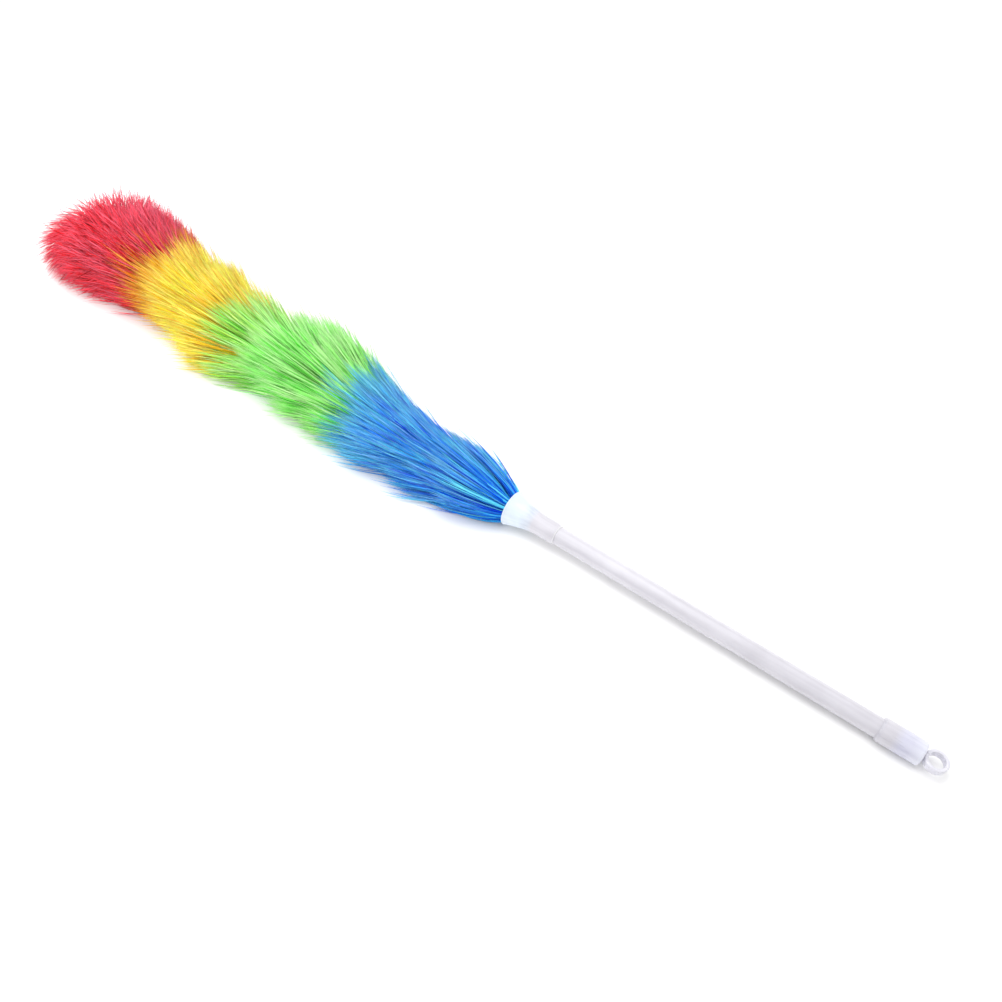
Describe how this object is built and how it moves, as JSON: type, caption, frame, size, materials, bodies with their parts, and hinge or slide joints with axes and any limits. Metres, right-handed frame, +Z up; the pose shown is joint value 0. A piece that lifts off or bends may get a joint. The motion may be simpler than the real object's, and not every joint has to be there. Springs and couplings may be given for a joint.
{
  "type": "static duster",
  "caption": "Long synthetic static duster: four-colour filament brush on a twisted wire core, slim tube handle with trumpet collar, end cap and swivelling hanging ring.",
  "frame": {"origin": "centre of the bounding box at the surface that the duster lies on", "axes": "+X along the duster's length towards the hanging ring (the handle's line slopes down by 1.07 degrees towards +X), +Y to the side that the brush drifts to, +Z up from the surface that it lies on"},
  "size_m": [0.6621, 0.0813, 0.0604],
  "materials": {
    "steel_wire": "satin",
    "frosted_plastic": "satin",
    "collar_plastic": "satin",
    "core_plastic": "satin",
    "blue_filament": "satin",
    "green_filament": "satin",
    "yellow_filament": "satin",
    "red_filament": "satin"
  },
  "bodies": {
    "duster": {"handle_tube": "frosted_plastic", "end_cap": "frosted_plastic", "collar": "collar_plastic", "wire_bush": "core_plastic", "tip_cap": "core_plastic", "wire_strand_a": "steel_wire", "wire_strand_b": "steel_wire", "bristles_blue": "blue_filament", "bristles_green": "green_filament", "bristles_yellow": "yellow_filament", "bristles_red": "red_filament"},
    "hanger": {"hang_ring": "frosted_plastic"}
  },
  "joints": [
    {"name": "ring_swivel", "type": "hinge", "parent": "duster", "child": "hanger", "pos_m": [0.31916, -0.0135, 0.00601], "axis": [0.9998, 0, -0.0187], "continuous": true}
  ]
}
